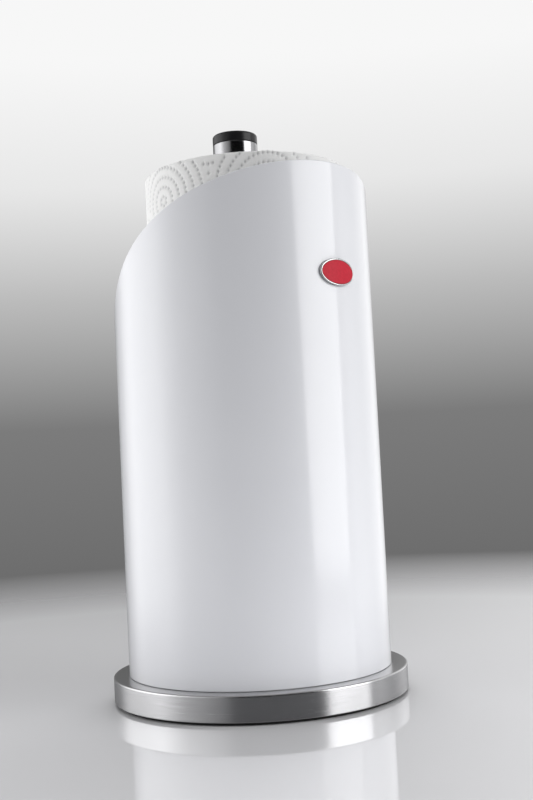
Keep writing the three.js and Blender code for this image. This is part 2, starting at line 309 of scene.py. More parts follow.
SHELL_SHEET = 1 * MM
ARCH_RADIUS = 207.2 * MM
ARCH_STEPS = 480
SHELL_COLUMN = 1 * MM
SHELL_MARGIN = 1 * MM  # between the sheet's edge and its flat faces
EDGE_DEPTH = 0.45 * MM
EDGE_STEPS = 8
FOOT_REACH = 0.27 * MM  # into the gap that the CAD leaves under the shell


def shell_columns(angles):
    """Numbers of the arch's points that columns hang from, none closer than SHELL_COLUMN."""
    centre = ARCH_STEPS // 2
    right = [centre]
    for i in range(centre + 1, ARCH_STEPS):
        step = ARCH_RADIUS * (math.sin(angles[i]) - math.sin(angles[right[-1]]))
        room = ARCH_RADIUS * (1 - math.sin(angles[i]))
        if min(step, room) >= SHELL_COLUMN:
            right.append(i)
    right.append(ARCH_STEPS)
    return [ARCH_STEPS - i for i in reversed(right[1:])] + right


def shell_sections():
    """(inset, depth) of the rings that run from the outer face round the edge to the inner."""
    half = SHELL_SHEET / 2
    sections = [(SHELL_MARGIN, half)]
    for turn in np.linspace(0, math.pi, EDGE_STEPS + 1):
        sections.append((EDGE_DEPTH * (1 - math.sin(turn)), half * math.cos(turn)))
    return [*sections, (SHELL_MARGIN, -half)]


def shell_ring(columns, angles, inset, depth):
    """A ring round the sheet, this far in from its edge and this far out from its middle."""
    low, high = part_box("shell")
    rolled = -low.y - SHELL_SHEET / 2
    reach = ARCH_RADIUS - inset
    foot = np.full(len(columns), low.z - FOOT_REACH + inset)
    arch = high.z - ARCH_RADIUS + reach * np.cos(angles[::-1])
    along = np.concatenate([np.sin(angles[columns]), np.sin(angles[::-1])]) * reach
    bend, radius = along / rolled, rolled + depth
    heights = np.concatenate([foot, arch])
    return np.stack([radius * np.sin(bend), -radius * np.cos(bend), heights], 1)


def shell_face(columns, first):
    """Upright faces that fill the ring whose first point is numbered so."""
    arch_last = first + len(columns) + ARCH_STEPS
    faces = []
    for i, (a, b) in enumerate(zip(columns, columns[1:])):
        above = range(arch_last - b, arch_last - a + 1)
        faces.append((first + i, first + i + 1, *above))
    return faces


def shell():
    """The enamelled sheet, its edge rounded all round."""
    angles = np.linspace(-math.pi / 2, math.pi / 2, ARCH_STEPS + 1)
    columns = shell_columns(angles)
    rings = [shell_ring(columns, angles, *section) for section in shell_sections()]
    points = np.concatenate(rings)
    size = len(rings[0])
    faces = bands(len(points), size)
    for first in (0, len(points) - size):
        faces += shell_face(columns, first)
    return add_mesh("shell_sheet", points, faces)


# ---- badge: a plain oval, without lettering ----

BADGE_SEGMENTS = 128
BADGE_DEPTH = 1.2 * MM
BADGE_RIM = 1.1 * MM
RIM_ROUNDING = 0.45 * MM
RIM_STEPS = 8
TRAY_FLOOR = 0.5 * MM
TRAY_EDGE = 0.2 * MM
BADGE_PIN = 1 * MM
BADGE_PIN_ANGLE = math.radians(6.4)
BADGE_PIN_END = 68.4 * MM  # from the post's axis
PIN_SEGMENTS = 24
TILE_DEPTH = 0.3 * MM
TILE_EDGE = 0.25 * MM
TILE_GAP = 0.02 * MM
TILE_FLANK = 0.1 * MM
TILE_LIP = 0.05 * MM
TILE_HOLLOW = 0.15 * MM
TILE_FIELD = 0.5 * MM
TILE_DIP = 0.01 * MM
TILE_DOME = 0.12 * MM


def badge_box():
    """Middle height, half width and half height of the badge."""
    low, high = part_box("badge_plate")
    return (low.z + high.z) / 2, high.x, (high.z - low.z) / 2


def oval(scale, inset, radius):
    """One oval ring of the badge, bent round the post's axis at this radius."""
    height, half_width, half_height = badge_box()
    ring = []
    for i in range(BADGE_SEGMENTS):
        turn = i * TURN / BADGE_SEGMENTS
        x = scale * (half_width - inset) * math.cos(turn)
        z = scale * (half_height - inset) * math.sin(turn)
        ring.append((x, -math.sqrt(radius * radius - x * x), height + z))
    return ring


def oval_body(name, rings, extra=()):
    """A closed body from oval rings, its first and last filled in to a point."""
    height = badge_box()[0]
    points = [point for ring in rings for point in oval(*ring)]
    count = BADGE_SEGMENTS
    faces = bands(len(points), count)
    for first, ring in ((0, rings[0]), (len(points) - count, rings[-1])):
        pole = len(points)
        points.append((0, -ring[2], height))
        faces += [(first + i, first + (i + 1) % count, pole) for i in range(count)]
    for more_points, more_faces in extra:
        faces += [tuple(i + len(points) for i in face) for face in more_faces]
        points += more_points
    return add_mesh(name, points, faces)


def badge_pin(angle, inner, outer):
    """A short pin on the badge's back, pointing at the post."""
    height = badge_box()[0]
    points = []
    for reach in (inner, outer):
        for i in range(PIN_SEGMENTS):
            turn = i * TURN / PIN_SEGMENTS
            place = around(reach, angle, height) + Vector((
                BADGE_PIN * math.cos(turn) * math.cos(angle),
                BADGE_PIN * math.cos(turn) * math.sin(angle),
                BADGE_PIN * math.sin(turn),
            ))
            points.append(tuple(place))
    ends = range(PIN_SEGMENTS), range(PIN_SEGMENTS, 2 * PIN_SEGMENTS)
    return points, strip(*ends) + [tuple(end) for end in ends]


def badge_rim(top):
    """Rings over the rim's rounded top, from its outer side to its inner one."""
    rings = []
    for step in range(RIM_STEPS + 1):
        turn = math.pi * step / RIM_STEPS
        inset = BADGE_RIM / 2 * (1 - math.cos(turn))
        rings.append((1, inset, top - RIM_ROUNDING * (1 - math.sin(turn))))
    return rings


def badge_frame():
    """The badge's plate: an oval tray with a rounded rim, on two pins."""
    top = -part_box("badge_plate")[0].y
    back = top - BADGE_DEPTH
    tray = back + TRAY_FLOOR
    rings = [(share, TRAY_EDGE, back) for share in (0.25, 0.5, 0.75, 1)]
    rings += [(1, 0, back + TRAY_EDGE), *badge_rim(top), (1, BADGE_RIM, tray)]
    rings += [(share, BADGE_RIM, tray) for share in (0.95, 0.75, 0.5, 0.25)]
    pins = []
    for side in (-1, 1):
        pins.append(badge_pin(side * BADGE_PIN_ANGLE, BADGE_PIN_END, back + TRAY_EDGE))
    return oval_body("badge_frame", rings, pins)


def badge_face():
    """The enamel: a thin tile, softly domed, that meets the rim in a small hollow."""
    back = -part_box("badge_enamel")[0].y - TILE_DEPTH
    top = back + TILE_EDGE
    side = BADGE_RIM + TILE_GAP
    field = side + TILE_FIELD
    rings = [(share, side, back) for share in (0.25, 0.5, 0.75, 0.97, 1)]
    rings += [(1, side, back + TILE_FLANK), (1, side, top + TILE_LIP)]
    rings += [(1, side + TILE_HOLLOW, top), (1, field, top - TILE_DIP)]
    for share in (0.85, 0.7, 0.5, 0.3, 0.15):
        rings.append((share, field, top + TILE_DOME * (1 - share * share)))
    return oval_body("badge_face", rings)


# ---- towel roll ----

LAYER = 0.6 * MM  # one turn of paper, with the air in it
GRID = 0.78 * MM  # between the mesh points of the embossed sheets
SHEET_BODY = 1.1 * MM
SHEET_LENGTH = 230 * MM
SHEET_WAVE = 0.06 * MM
SHEET_LAP = 3 * MM  # how far the outermost turn runs on under its own free edge
FREE_EDGE_ANGLE = math.radians(176)
TEAR_GAP = 0.3 * MM
TEETH_DEPTH = 0.35 * MM
TEETH_PITCH = 3.2 * MM

DENT_DEPTH = 0.75 * MM
DENT_HALF_WIDTH = 0.75 * MM
DENT_HALF_HEIGHT = 1.05 * MM
DENT_CORNER = 0.8
DOT_PITCH = 2.6 * MM
ARC_PITCH = 5 * MM
SCALE_RADIUS = 31.2 * MM
TOP_SCALE = (86.4 * MM, 18 * MM)  # its centre: along from the free edge, down from the top

OUT_OF_SQUARE = 0.9 * MM
HIGH_SIDE = math.radians(-23)
RIPPLE_WAVES = 6
RIPPLE_LEAN = 25  # radians per metre
SHEET_SEED = 3
END_SEED = 20

WINDING_SEED = 11
WINDING_SEGMENTS = 240
WINDING_GAP = 0.1 * MM
CREST_HEIGHT = 0.4 * MM
CREST_SPREAD = 0.09 * MM
RING_SPREAD = 0.05 * MM
END_WAVE = 0.07 * MM
END_STRETCH = 9  # of the radius, so that the ends' unevenness varies from turn to turn

CORE_WALL = 1 * MM
CORE_EDGES = (0.25 * MM, 0.2 * MM, 0.2 * MM, 0.25 * MM)
CORE_SEGMENTS = 128


def on_roll(radius, angle, height):
    """Points at these radii, angles and heights about the roll's axis."""
    cx, cy = middle("paper_roll")[0]
    x, y = cx + radius * np.sin(angle), cy - radius * np.cos(angle)
    return np.stack([x, y, height], -1)


def dot_wheel():
    """Dots in rings about one centre, out to SCALE_RADIUS."""
    rings = []
    for radius in np.arange(ARC_PITCH / 2, SCALE_RADIUS, ARC_PITCH):
        count = round(TURN * radius / DOT_PITCH)
        turns = (np.arange(count) + 0.5) * TURN / count
        rings.append(np.stack([radius * np.cos(turns), radius * np.sin(turns)], 1))
    return np.concatenate(rings)


def scale_dots(length, height):
    """Centres of the pressed dots: arcs about staggered centres, like overlapping fish scales.

    The lower scales lie over the upper ones, and one of the top row's centres is TOP_SCALE.
    """
    pitch, wheel = 2 * SCALE_RADIUS, dot_wheel()
    kept = []
    for row in range(-2, int(height / SCALE_RADIUS) + 3):
        for column in range(-3, int(length / pitch) + 2):
            along = TOP_SCALE[0] + (column + row % 2 / 2) * pitch
            centre = np.array([along, height - TOP_SCALE[1] - row * SCALE_RADIUS])
            dots = wheel + centre
            for right, down in ((-0.5, 1), (0.5, 1), (0, 2)):
                cover = centre + np.array([right * pitch, -down * SCALE_RADIUS])
                dots = dots[np.linalg.norm(dots - cover, axis=1) > SCALE_RADIUS]
            kept.append(dots)
    return np.concatenate(kept)


def pick_pits(along, up):
    """The grid point nearest to each dot, with the dot, where no pit is there already."""
    step = along[1] - along[0], up[1] - up[0]
    pits = {}
    for dot in scale_dots(along[-1], up[-1]):
        column, row = round((dot[0] - along[0]) / step[0]), round((dot[1] - up[0]) / step[1])
        around_it = {(row + i, column + j) for i in (-1, 0, 1) for j in (-1, 0, 1)}
        inside = 1 < column < len(along) - 2 and 0 < row < len(up) - 1
        if inside and not around_it & pits.keys():
            pits[row, column] = dot
    return np.array(list(pits)).T, np.array(list(pits.values()))


def press(along, up):
    """The embossed grid of the unrolled paper: places along and up it, and how deep each lies.

    The grid points nearest to a dot are drawn into a small oval pit round it.
    """
    place_along, place_up = np.meshgrid(along, up)
    depth = np.zeros(place_along.shape)
    (rows, columns), dots = pick_pits(along, up)
    for down in (-1, 0, 1):
        for across in (-1, 0, 1):
            reach = DENT_CORNER if down and across else 1
            row, column = rows + down, columns + across
            place_along[row, column] = dots[:, 0] + reach * across * DENT_HALF_WIDTH
            place_up[row, column] = dots[:, 1] + reach * down * DENT_HALF_HEIGHT
            depth[row, column] = 0 if down and across else DENT_DEPTH / 4
    depth[rows, columns] = DENT_DEPTH
    return place_along, place_up, depth


def ripple(angle, height, seed):
    """A slow unevenness, between about -1 and 1."""
    random = np.random.default_rng(seed)
    total = np.zeros(np.broadcast(angle, height).shape)
    for turns in range(1, RIPPLE_WAVES + 1):
        phase, lean = random.uniform(0, TURN), random.uniform(-RIPPLE_LEAN, RIPPLE_LEAN)
        total = total + np.sin(turns * angle + lean * height + phase) / turns
    return total / 2


def roll_end(angle, share=1):
    """How far the roll's top stands above its nominal height, as it is wound out of square.

    The share is the place's radius, as a part of the roll's.
    """
    return OUT_OF_SQUARE * np.cos(angle - HIGH_SIDE) * share


def sheet_faces(number):
    """Faces of a sheet whose front points have these numbers, in rows from its foot up.

    Two rows follow them, the foot and the top of the sheet's plain back.
    """
    back_foot = number[-1] + number.shape[1]
    back_top = back_foot + number.shape[1]
    rows = [*number, back_top, back_foot, number[0]]
    faces = []
    for one, other in zip(rows, rows[1:]):
        faces += strip(one, other, closed=False)
    for side in (0, -1):
        faces.append((*number[:, side], back_top[side], back_foot[side]))
    return faces


def mark_pit_shade(sheet, depth):
    """Tells the paper's material how deep each point of the front is pressed, from 0 to 1, so that
    the material paints shade into the pits.
    """
    share = np.zeros(len(sheet.data.vertices), np.float32)
    share[: depth.size] = depth.ravel() / DENT_DEPTH
    hollow = sheet.data.attributes.new("hollow", "FLOAT", "POINT")
    hollow.data.foreach_set("value", share)


def outer_sheet(name, start, end):
    """A length of the roll's outermost turn, from one perforated line to the next."""
    outer = middle("paper_roll")[1]
    low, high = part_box("paper_roll")
    columns, rows = round((end - start) / GRID), round((high.z - low.z) / GRID)
    along = np.linspace(start, end, columns + 1)
    up = np.linspace(0, high.z - low.z, rows + 1)
    grid_along, grid_up, depth = press(along, up)
    angle = FREE_EDGE_ANGLE + grid_along / outer
    spiral = outer - LAYER * grid_along / (TURN * outer)
    surface = spiral - depth - SHEET_WAVE * (1 + ripple(angle, grid_up, SHEET_SEED))
    teeth = TEETH_DEPTH * np.abs((up / TEETH_PITCH) % 1 - 0.5)
    angle[:, 0] += teeth / outer
    angle[:, -1] -= teeth / outer
    height = low.z + grid_up + roll_end(angle) * grid_up / up[-1]
    body = [on_roll(surface, angle, height).reshape(-1, 3)]
    for row in (0, -1):
        body.append(on_roll(spiral[row] - SHEET_BODY, angle[row], height[row]))
    number = np.arange(surface.size).reshape(surface.shape)
    sheet = add_mesh(name, np.concatenate(body), sheet_faces(number))
    mark_pit_shade(sheet, depth)
    return sheet


def winding_end(side, radii, crest, random):
    """Rings of points on the roll's top (side 1) or foot (side -1), from the core outwards."""
    low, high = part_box("paper_roll")
    outer = middle("paper_roll")[1]
    angle = np.arange(WINDING_SEGMENTS) * TURN / WINDING_SEGMENTS
    ring = radii[:, None] + RING_SPREAD * random.normal(size=(len(radii), WINDING_SEGMENTS))
    wave = END_WAVE * ripple(angle[None, :], radii[:, None] * END_STRETCH, END_SEED + side)
    height = (high.z if side > 0 else low.z) + side * (crest[:, None] + wave)
    if side > 0:
        height = height + roll_end(angle[None, :], radii[:, None] / outer)
    return on_roll(ring, angle, height)


def windings():
    """The rest of the roll: its ends show every turn of the wound paper."""
    outer = middle("paper_roll")[1] - LAYER - SHEET_BODY - WINDING_GAP
    inner = middle("cardboard_core")[1] + CAD_GAP
    layers = round((outer - inner) / LAYER)
    random = np.random.default_rng(WINDING_SEED)
    radii = np.linspace(inner, outer, 2 * layers + 1)
    stand = np.repeat(random.normal(0, CREST_SPREAD, layers + 1), 2)[: len(radii)]
    crest = np.where(np.arange(len(radii)) % 2, 0, -CREST_HEIGHT) + stand
    top = winding_end(1, radii, crest, random)
    foot = winding_end(-1, radii, crest, random)
    points = np.concatenate([top, foot[::-1]]).reshape(-1, 3)
    number = np.arange(len(points)).reshape(-1, WINDING_SEGMENTS)
    faces = []
    for one, other in zip(number, np.roll(number, -1, 0)):
        faces += strip(one, other)
    return add_mesh("roll_windings", points, faces)


def core_tube():
    """The roll's cardboard core."""
    return tube("core_tube", "cardboard_core", CORE_WALL, CORE_EDGES, CORE_SEGMENTS)


# ---- material tools ----


class Graph:
    """Short calls for putting nodes into a material or the world."""

    def __init__(self, tree):
        self.tree = tree

    def add(self, kind, **settings):
        node = self.tree.nodes.new(kind)
        for setting, value in settings.items():
            setattr(node, setting, value)
        return node

    def feed(self, socket, value):
        if isinstance(value, bpy.types.NodeSocket):
            self.tree.links.new(value, socket)
        else:
            socket.default_value = value

    def math(self, operation, *values):
        node = self.add("ShaderNodeMath", operation=operation)
        for socket, value in zip(node.inputs, values):
            self.feed(socket, value)
        return node.outputs[0]

    def vector(self, operation, *values):
        node = self.add("ShaderNodeVectorMath", operation=operation)
        for socket, value in zip(node.inputs, values):
            self.feed(socket, value)
        return node.outputs[0]

    def split(self, vector):
        node = self.add("ShaderNodeSeparateXYZ")
        self.feed(node.inputs[0], vector)
        return node.outputs

    def between(self, value, low, high, start=0.0, end=1.0):
        """The value, which runs from start to end, rescaled to run from low to high."""
        node = self.add("ShaderNodeMapRange")
        for socket, entry in zip(node.inputs, (value, start, end, low, high)):
            self.feed(socket, entry)
        return node.outputs[0]

    def mix(self, share, one, other):
        node = self.add("ShaderNodeMix", data_type="RGBA")
        self.feed(node.inputs["Factor"], share)
        self.feed(node.inputs[6], (*one, 1.0) if isinstance(one, tuple) else one)
        self.feed(node.inputs[7], (*other, 1.0) if isinstance(other, tuple) else other)
        return node.outputs[2]

    def ramp(self, value, stops):
        """Greys from (place, tone) stops, the places from 0 to 1."""
        node = self.add("ShaderNodeValToRGB")
        self.feed(node.inputs[0], value)
        stop = node.color_ramp.elements
        stop.remove(stop[1])
        stop[0].position = stops[0][0]
        for place, _ in stops[1:]:
            stop.new(place)
        for element, (_, tone) in zip(stop, stops):
            element.color = (tone, tone, tone, 1)
        return node.outputs[0]


class Paint(Graph):
    """A Principled material being built from nodes, in the object's own coordinates."""

    def __init__(self, name, centre=(0, 0), **inputs):
        self.material = bpy.data.materials.new(name)
        self.material.use_nodes = True
        super().__init__(self.material.node_tree)
        self.shader = self.tree.nodes["Principled BSDF"]
        for socket, value in inputs.items():
            self.shader.inputs[socket.replace("_", " ")].default_value = value
        place = self.add("ShaderNodeTexCoord").outputs["Object"]
        self.place = self.vector("SUBTRACT", place, (*centre, 0))

    def stretched(self, x, y, z):
        """The place with each axis scaled, in features per metre."""
        return self.vector("MULTIPLY", self.place, (x, y, z))

    def radius(self):
        x, y, _ = self.split(self.place)
        return self.math("SQRT", self.math("ADD", self.math("MULTIPLY", x, x),
                                           self.math("MULTIPLY", y, y)))

    def angle(self):
        x, y, _ = self.split(self.place)
        return self.math("ARCTAN2", x, self.math("MULTIPLY", y, -1.0))

    def brushed(self, along, across):
        """Coordinates for turned marks: slow round the axis, and fast outwards and upwards."""
        flat = self.vector("MULTIPLY", self.place, (1, 1, 0))
        heading = self.vector("MULTIPLY", self.vector("NORMALIZE", flat), (along, along, 0))
        run = self.math("ADD", self.radius(), self.split(self.place)[2])
        lift = self.add("ShaderNodeCombineXYZ")
        self.feed(lift.inputs[2], self.math("MULTIPLY", run, across))
        return self.vector("ADD", heading, lift.outputs[0])

    def noise(self, vector, scale=1.0, detail=2.0, roughness=0.5):
        node = self.add("ShaderNodeTexNoise")
        self.feed(node.inputs["Vector"], vector)
        self.feed(node.inputs["Scale"], scale)
        self.feed(node.inputs["Detail"], detail)
        self.feed(node.inputs["Roughness"], roughness)
        return node.outputs[0]

    def colour(self, value):
        self.feed(self.shader.inputs["Base Color"], value)

    def roughness(self, value):
        self.feed(self.shader.inputs["Roughness"], value)

    def bump(self, *layers):
        """Relief from (height, depth in metres) layers, one on another."""
        normal = None
        for height, distance in layers:
            node = self.add("ShaderNodeBump")
            self.feed(node.inputs["Height"], height)
            node.inputs["Strength"].default_value = 1.0
            node.inputs["Distance"].default_value = distance
            if normal is not None:
                self.feed(node.inputs["Normal"], normal)
            normal = node.outputs[0]
        self.feed(self.shader.inputs["Normal"], normal)
        return normal


# ---- materials ----

BOARD_CLIMB = 75 * MM  # of the core's spiral seam, in one turn
BOARD_SEAM = (0.484, 0.496)  # parts of a turn from mid-strip, between which the seam fades in
TANGENT_TURN = 0.25  # a quarter turn, so that the gloss stretches across the marks


def turned_steel(name, dark, light, smooth, rough):
    """Stainless steel finished on the turntable: fine marks run round the axis."""
    paint = Paint(name, Metallic=1.0, Anisotropic=0.7, Anisotropic_Rotation=TANGENT_TURN)
    tangent = paint.add("ShaderNodeTangent", direction_type="RADIAL", axis="Z")
    paint.feed(paint.shader.inputs["Tangent"], tangent.outputs[0])
    fine = paint.noise(paint.brushed(5, 11000), 1.0, 3.0, 0.6)
    broad = paint.noise(paint.brushed(2.5, 1800), 1.0, 2.0, 0.5)
    marks = paint.math("ADD", paint.math("MULTIPLY", fine, 0.8),
                       paint.math("MULTIPLY", broad, 0.2))
    share = paint.between(marks, 0, 1, 0.3, 0.7)
    paint.colour(paint.mix(share, (dark, dark, dark + 0.01), (light, light, light + 0.01)))
    paint.roughness(paint.between(marks, smooth, rough, 0.3, 0.7))
    paint.bump((marks, 0.003 * MM))
    return paint.material


def zinc_steel():
    """Zinc-plated pressings and fasteners, with a faint spangle and handling marks."""
    paint = Paint("zinc_steel", Metallic=1.0)
    spangle = paint.add("ShaderNodeTexVoronoi", feature="F1")
    paint.feed(spangle.inputs["Vector"], paint.place)
    spangle.inputs["Scale"].default_value = 700
    grain = paint.noise(paint.place, 2200, 3.0)
    tone = paint.math("ADD", paint.math("MULTIPLY", spangle.outputs["Distance"], 0.5),
                      paint.math("MULTIPLY", grain, 0.6))
    paint.colour(paint.mix(tone, (0.4, 0.42, 0.46), (0.6, 0.61, 0.62)))
    paint.roughness(paint.between(grain, 0.34, 0.55))
    paint.bump((grain, 0.01 * MM))
    return paint.material


def ballast_iron():
    """A rough cast disc with a sooty skin."""
    paint = Paint("ballast_iron", Metallic=0.8)
    grain = paint.noise(paint.place, 900, 6.0, 0.65)
    blotch = paint.noise(paint.place, 90, 3.0)
    paint.colour(paint.mix(blotch, (0.05, 0.05, 0.055), (0.14, 0.13, 0.125)))
    paint.roughness(paint.between(grain, 0.6, 0.85))
    paint.bump((grain, 0.12 * MM))
    return paint.material


def white_enamel():
    """Gloss stoved enamel: a clear, slightly wavy surface over a soft white."""
    paint = Paint("white_enamel", Coat_Weight=1.0, Coat_Roughness=0.12, Coat_IOR=1.55)
    cloud = paint.noise(paint.place, 14, 2.0)
    speck = paint.noise(paint.place, 2600, 2.0)
    tone = paint.math("ADD", paint.math("MULTIPLY", cloud, 0.7),
                      paint.math("MULTIPLY", speck, 0.3))
    paint.colour(paint.mix(tone, (0.78, 0.79, 0.83), (0.84, 0.848, 0.885)))
    paint.roughness(paint.between(speck, 0.34, 0.46))
    peel = paint.noise(paint.place, 260, 2.0, 0.4)
    wave = paint.noise(paint.place, 45, 1.0)
    normal = paint.bump((wave, 0.02 * MM), (peel, 0.004 * MM))
    paint.feed(paint.shader.inputs["Coat Normal"], normal)
    return paint.material


def black_plastic():
    """Moulded black plastic with a very fine satin texture."""
    paint = Paint("black_plastic", IOR=1.36)
    grain = paint.noise(paint.place, 3500, 3.0)
    cloud = paint.noise(paint.place, 120, 2.0)
    paint.colour(paint.mix(cloud, (0.008, 0.008, 0.009), (0.018, 0.018, 0.02)))
    paint.roughness(paint.between(grain, 0.2, 0.32))
    paint.bump((grain, 0.006 * MM))
    return paint.material


def black_rubber():
    """Matt rubber with a fine, uneven grain."""
    paint = Paint("black_rubber")
    grain = paint.noise(paint.place, 1800, 4.0)
    cloud = paint.noise(paint.place, 150, 2.0)
    paint.colour(paint.mix(cloud, (0.014, 0.014, 0.014), (0.03, 0.03, 0.029)))
    paint.roughness(paint.between(grain, 0.78, 0.95))
    paint.bump((grain, 0.05 * MM))
    return paint.material


def towel_paper():
    """Soft two-ply paper: fibres, a fine crepe running across and a matt surface, with painted
    shade darkening the pressed pits.
    """
    centre = middle("paper_roll")[0]
    paint = Paint("towel_paper", centre, Sheen_Weight=0.15, Sheen_Roughness=0.6)
    fibre = paint.noise(paint.place, 1500, 5.0, 0.65)
    cloud = paint.noise(paint.place, 180, 3.0)
    crepe = paint.noise(paint.stretched(350, 350, 2600), 1.0, 3.0, 0.6)
    tone = paint.math("ADD", paint.math("MULTIPLY", fibre, 0.6),
                      paint.math("MULTIPLY", cloud, 0.4))
    share = paint.between(tone, 0, 1, 0.3, 0.7)
    paper = paint.mix(share, (0.91, 0.91, 0.905), (0.965, 0.965, 0.96))
    # Painted shade: the deeper a point of a pit lies, the more the paper is mixed towards grey.
    hollow = paint.add("ShaderNodeAttribute", attribute_name="hollow").outputs["Fac"]
    painted_pit_shade = paint.math("MULTIPLY", hollow, 0.85)
    paint.colour(paint.mix(painted_pit_shade, paper, (0.5, 0.5, 0.51)))
    paint.roughness(paint.between(fibre, 0.88, 1.0))
    paint.bump((crepe, 0.05 * MM), (fibre, 0.06 * MM))
    return paint.material


def grey_board():
    """Wound cardboard: a spiral seam, long fibres and flecks of recycled pulp."""
    centre = middle("cardboard_core")[0]
    paint = Paint("grey_board", centre)
    fibre = paint.noise(paint.place, 900, 5.0, 0.7)
    fleck = paint.noise(paint.place, 2600, 2.0)
    height = paint.split(paint.place)[2]
    climb = paint.math("SUBTRACT", paint.math("DIVIDE", height, BOARD_CLIMB),
                       paint.math("DIVIDE", paint.angle(), TURN))
    across = paint.math("ABSOLUTE", paint.math("SUBTRACT", paint.math("FRACT", climb), 0.5))
    seam = paint.between(across, 0, 1, *BOARD_SEAM)
    pulp = paint.between(fibre, 0, 1, 0.3, 0.7)
    board = paint.mix(pulp, (0.33, 0.27, 0.2), (0.46, 0.39, 0.3))
    flecked = paint.mix(paint.between(fleck, 0, 1, 0.62, 0.72), board, (0.2, 0.16, 0.12))
    paint.colour(paint.mix(seam, flecked, (0.17, 0.13, 0.1)))
    paint.roughness(paint.between(fibre, 0.82, 0.97))
    paint.bump((fibre, 0.06 * MM), (paint.math("SUBTRACT", 1.0, seam), 0.2 * MM))
    return paint.material


def badge_steel():
    """Polished steel with hairline marks."""
    paint = Paint("badge_steel", Metallic=1.0)
    hairline = paint.noise(paint.stretched(500, 500, 6000), 1.0, 3.0)
    paint.colour(paint.mix(hairline, (0.5, 0.5, 0.51), (0.62, 0.62, 0.63)))
    paint.roughness(paint.between(hairline, 0.1, 0.22))
    paint.bump((hairline, 0.003 * MM))
    return paint.material


def red_enamel():
    """Fired red enamel with a faint cloudiness in its depth."""
    paint = Paint("red_enamel", IOR=1.25)
    cloud = paint.noise(paint.place, 700, 3.0)
    speck = paint.noise(paint.place, 5000, 1.0)
    paint.colour(paint.mix(cloud, (0.5, 0.008, 0.025), (0.68, 0.014, 0.042)))
    paint.roughness(paint.between(speck, 0.3, 0.42))
    paint.bump((cloud, 0.01 * MM))
    return paint.material


# ---- putting the object together ----

BEVEL_WIDTH = 0.12 * MM
BEVEL_STEPS = 2
BEVEL_ANGLE = math.radians(40)


def finish_piece(piece, body, slot, materials, node, look=None):
    """Gives a piece its material and the body it rides on, and hides the CAD node it stands for."""
    piece.data.materials.append(materials[look or slot])
    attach(piece, body)
    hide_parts(node)


def towel_sheets():
    """The two sheets that make up the roll's outermost turn, and the rest of the roll."""
    turn = TURN * middle("paper_roll")[1]
    return (
        outer_sheet("last_towel", 0, SHEET_LENGTH),
        outer_sheet("next_towel", SHEET_LENGTH + TEAR_GAP, turn + SHEET_LAP),
        windings(),
    )


def build_pieces(materials):
    """The mesh pieces that replace the CAD nodes that show."""
    root = "root"
    finish_piece(base_cover(), root, "brushed_steel", materials, "base_cover")
    finish_piece(post_tube(), root, "brushed_steel", materials, "post_tube", look="shaded_post_steel")
    finish_piece(post_cap(), root, "black_plastic", materials, "post_cap")
    finish_piece(roll_seat(), root, "black_plastic", materials, "roll_seat")
    finish_piece(shell(), root, "white_enamel", materials, "shell")
    finish_piece(badge_frame(), root, "badge_steel", materials, "badge_plate")
    finish_piece(badge_face(), root, "red_enamel", materials, "badge_enamel")
    finish_piece(core_tube(), "roll_core", "grey_board", materials, "cardboard_core")
    for piece in towel_sheets():
        finish_piece(piece, "towel_roll", "towel_paper", materials, "paper_roll")


def dress_cad_nodes(materials):
    """The CAD nodes that stay get their slot's material and softened edges."""
    for entry in frame["record"]["subparts"]:
        node = frame["nodes"][entry["node"]]
        if node.hide_render:
            continue
        for place in node.material_slots:
            place.link = "OBJECT"
            place.material = materials[entry["material_slot"]]
        bevel = node.modifiers.new("soft_edges", "BEVEL")
        bevel.width = BEVEL_WIDTH
        bevel.segments = BEVEL_STEPS
        bevel.limit_method = "ANGLE"
        bevel.angle_limit = BEVEL_ANGLE
        bevel.harden_normals = True


# ---- table ----

TABLE_RADIUS = 1.1
TABLE_RINGS = (0, 0.3, 0.6, 1)
TABLE_SEGMENTS = 128
FADE_START = 0.42
FADE_END = 0.8 * TABLE_RADIUS
UNSEEN_DROP = 0.05 * MM
UNSEEN_SCALE = 0.6


def table_gloss():
    """A glossy white that fades out with the radius, and looks grey in glossy surfaces."""
    paint = Paint("table_gloss", Roughness=0.04, IOR=2.2)
    cloud = paint.noise(paint.place, 3, 1.0)
    pale = paint.mix(cloud, (0.84, 0.84, 0.86), (0.88, 0.88, 0.9))
    mirrored = paint.add("ShaderNodeLightPath").outputs["Is Glossy Ray"]
    paint.colour(paint.mix(mirrored, pale, (0.3, 0.3, 0.31)))
    clear = paint.add("ShaderNodeBsdfTransparent")
    blend = paint.add("ShaderNodeMixShader")
    paint.feed(blend.inputs[0], paint.between(paint.radius(), 0.0, 1.0, FADE_START, FADE_END))
    paint.feed(blend.inputs[1], paint.shader.outputs[0])
    paint.feed(blend.inputs[2], clear.outputs[0])
    output = paint.tree.nodes["Material Output"]
    paint.feed(output.inputs["Surface"], blend.outputs[0])
    return paint.material


def lay_table():
    """The table top, laid twice: the camera sees one copy, and light bounces off the other.

    The unseen copy is smaller, lies a hair lower, and shows in the steel. Both are stage.
    """
    rings = [(TABLE_RADIUS * share, 0) for share in TABLE_RINGS]
    seen = turned("table_top", rings, TABLE_SEGMENTS, closed=False)
    seen.data.materials.append(table_gloss())
    unseen = seen.copy()
    unseen.name = "table_felt"
    unseen.location.z = -UNSEEN_DROP
    unseen.scale = (UNSEEN_SCALE, UNSEEN_SCALE, 1)
    bpy.context.scene.collection.objects.link(unseen)
    unseen.visible_camera = False
    seen.visible_diffuse = False
    seen.visible_glossy = False
    seen.visible_shadow = False
    return seen


# ---- studio ----

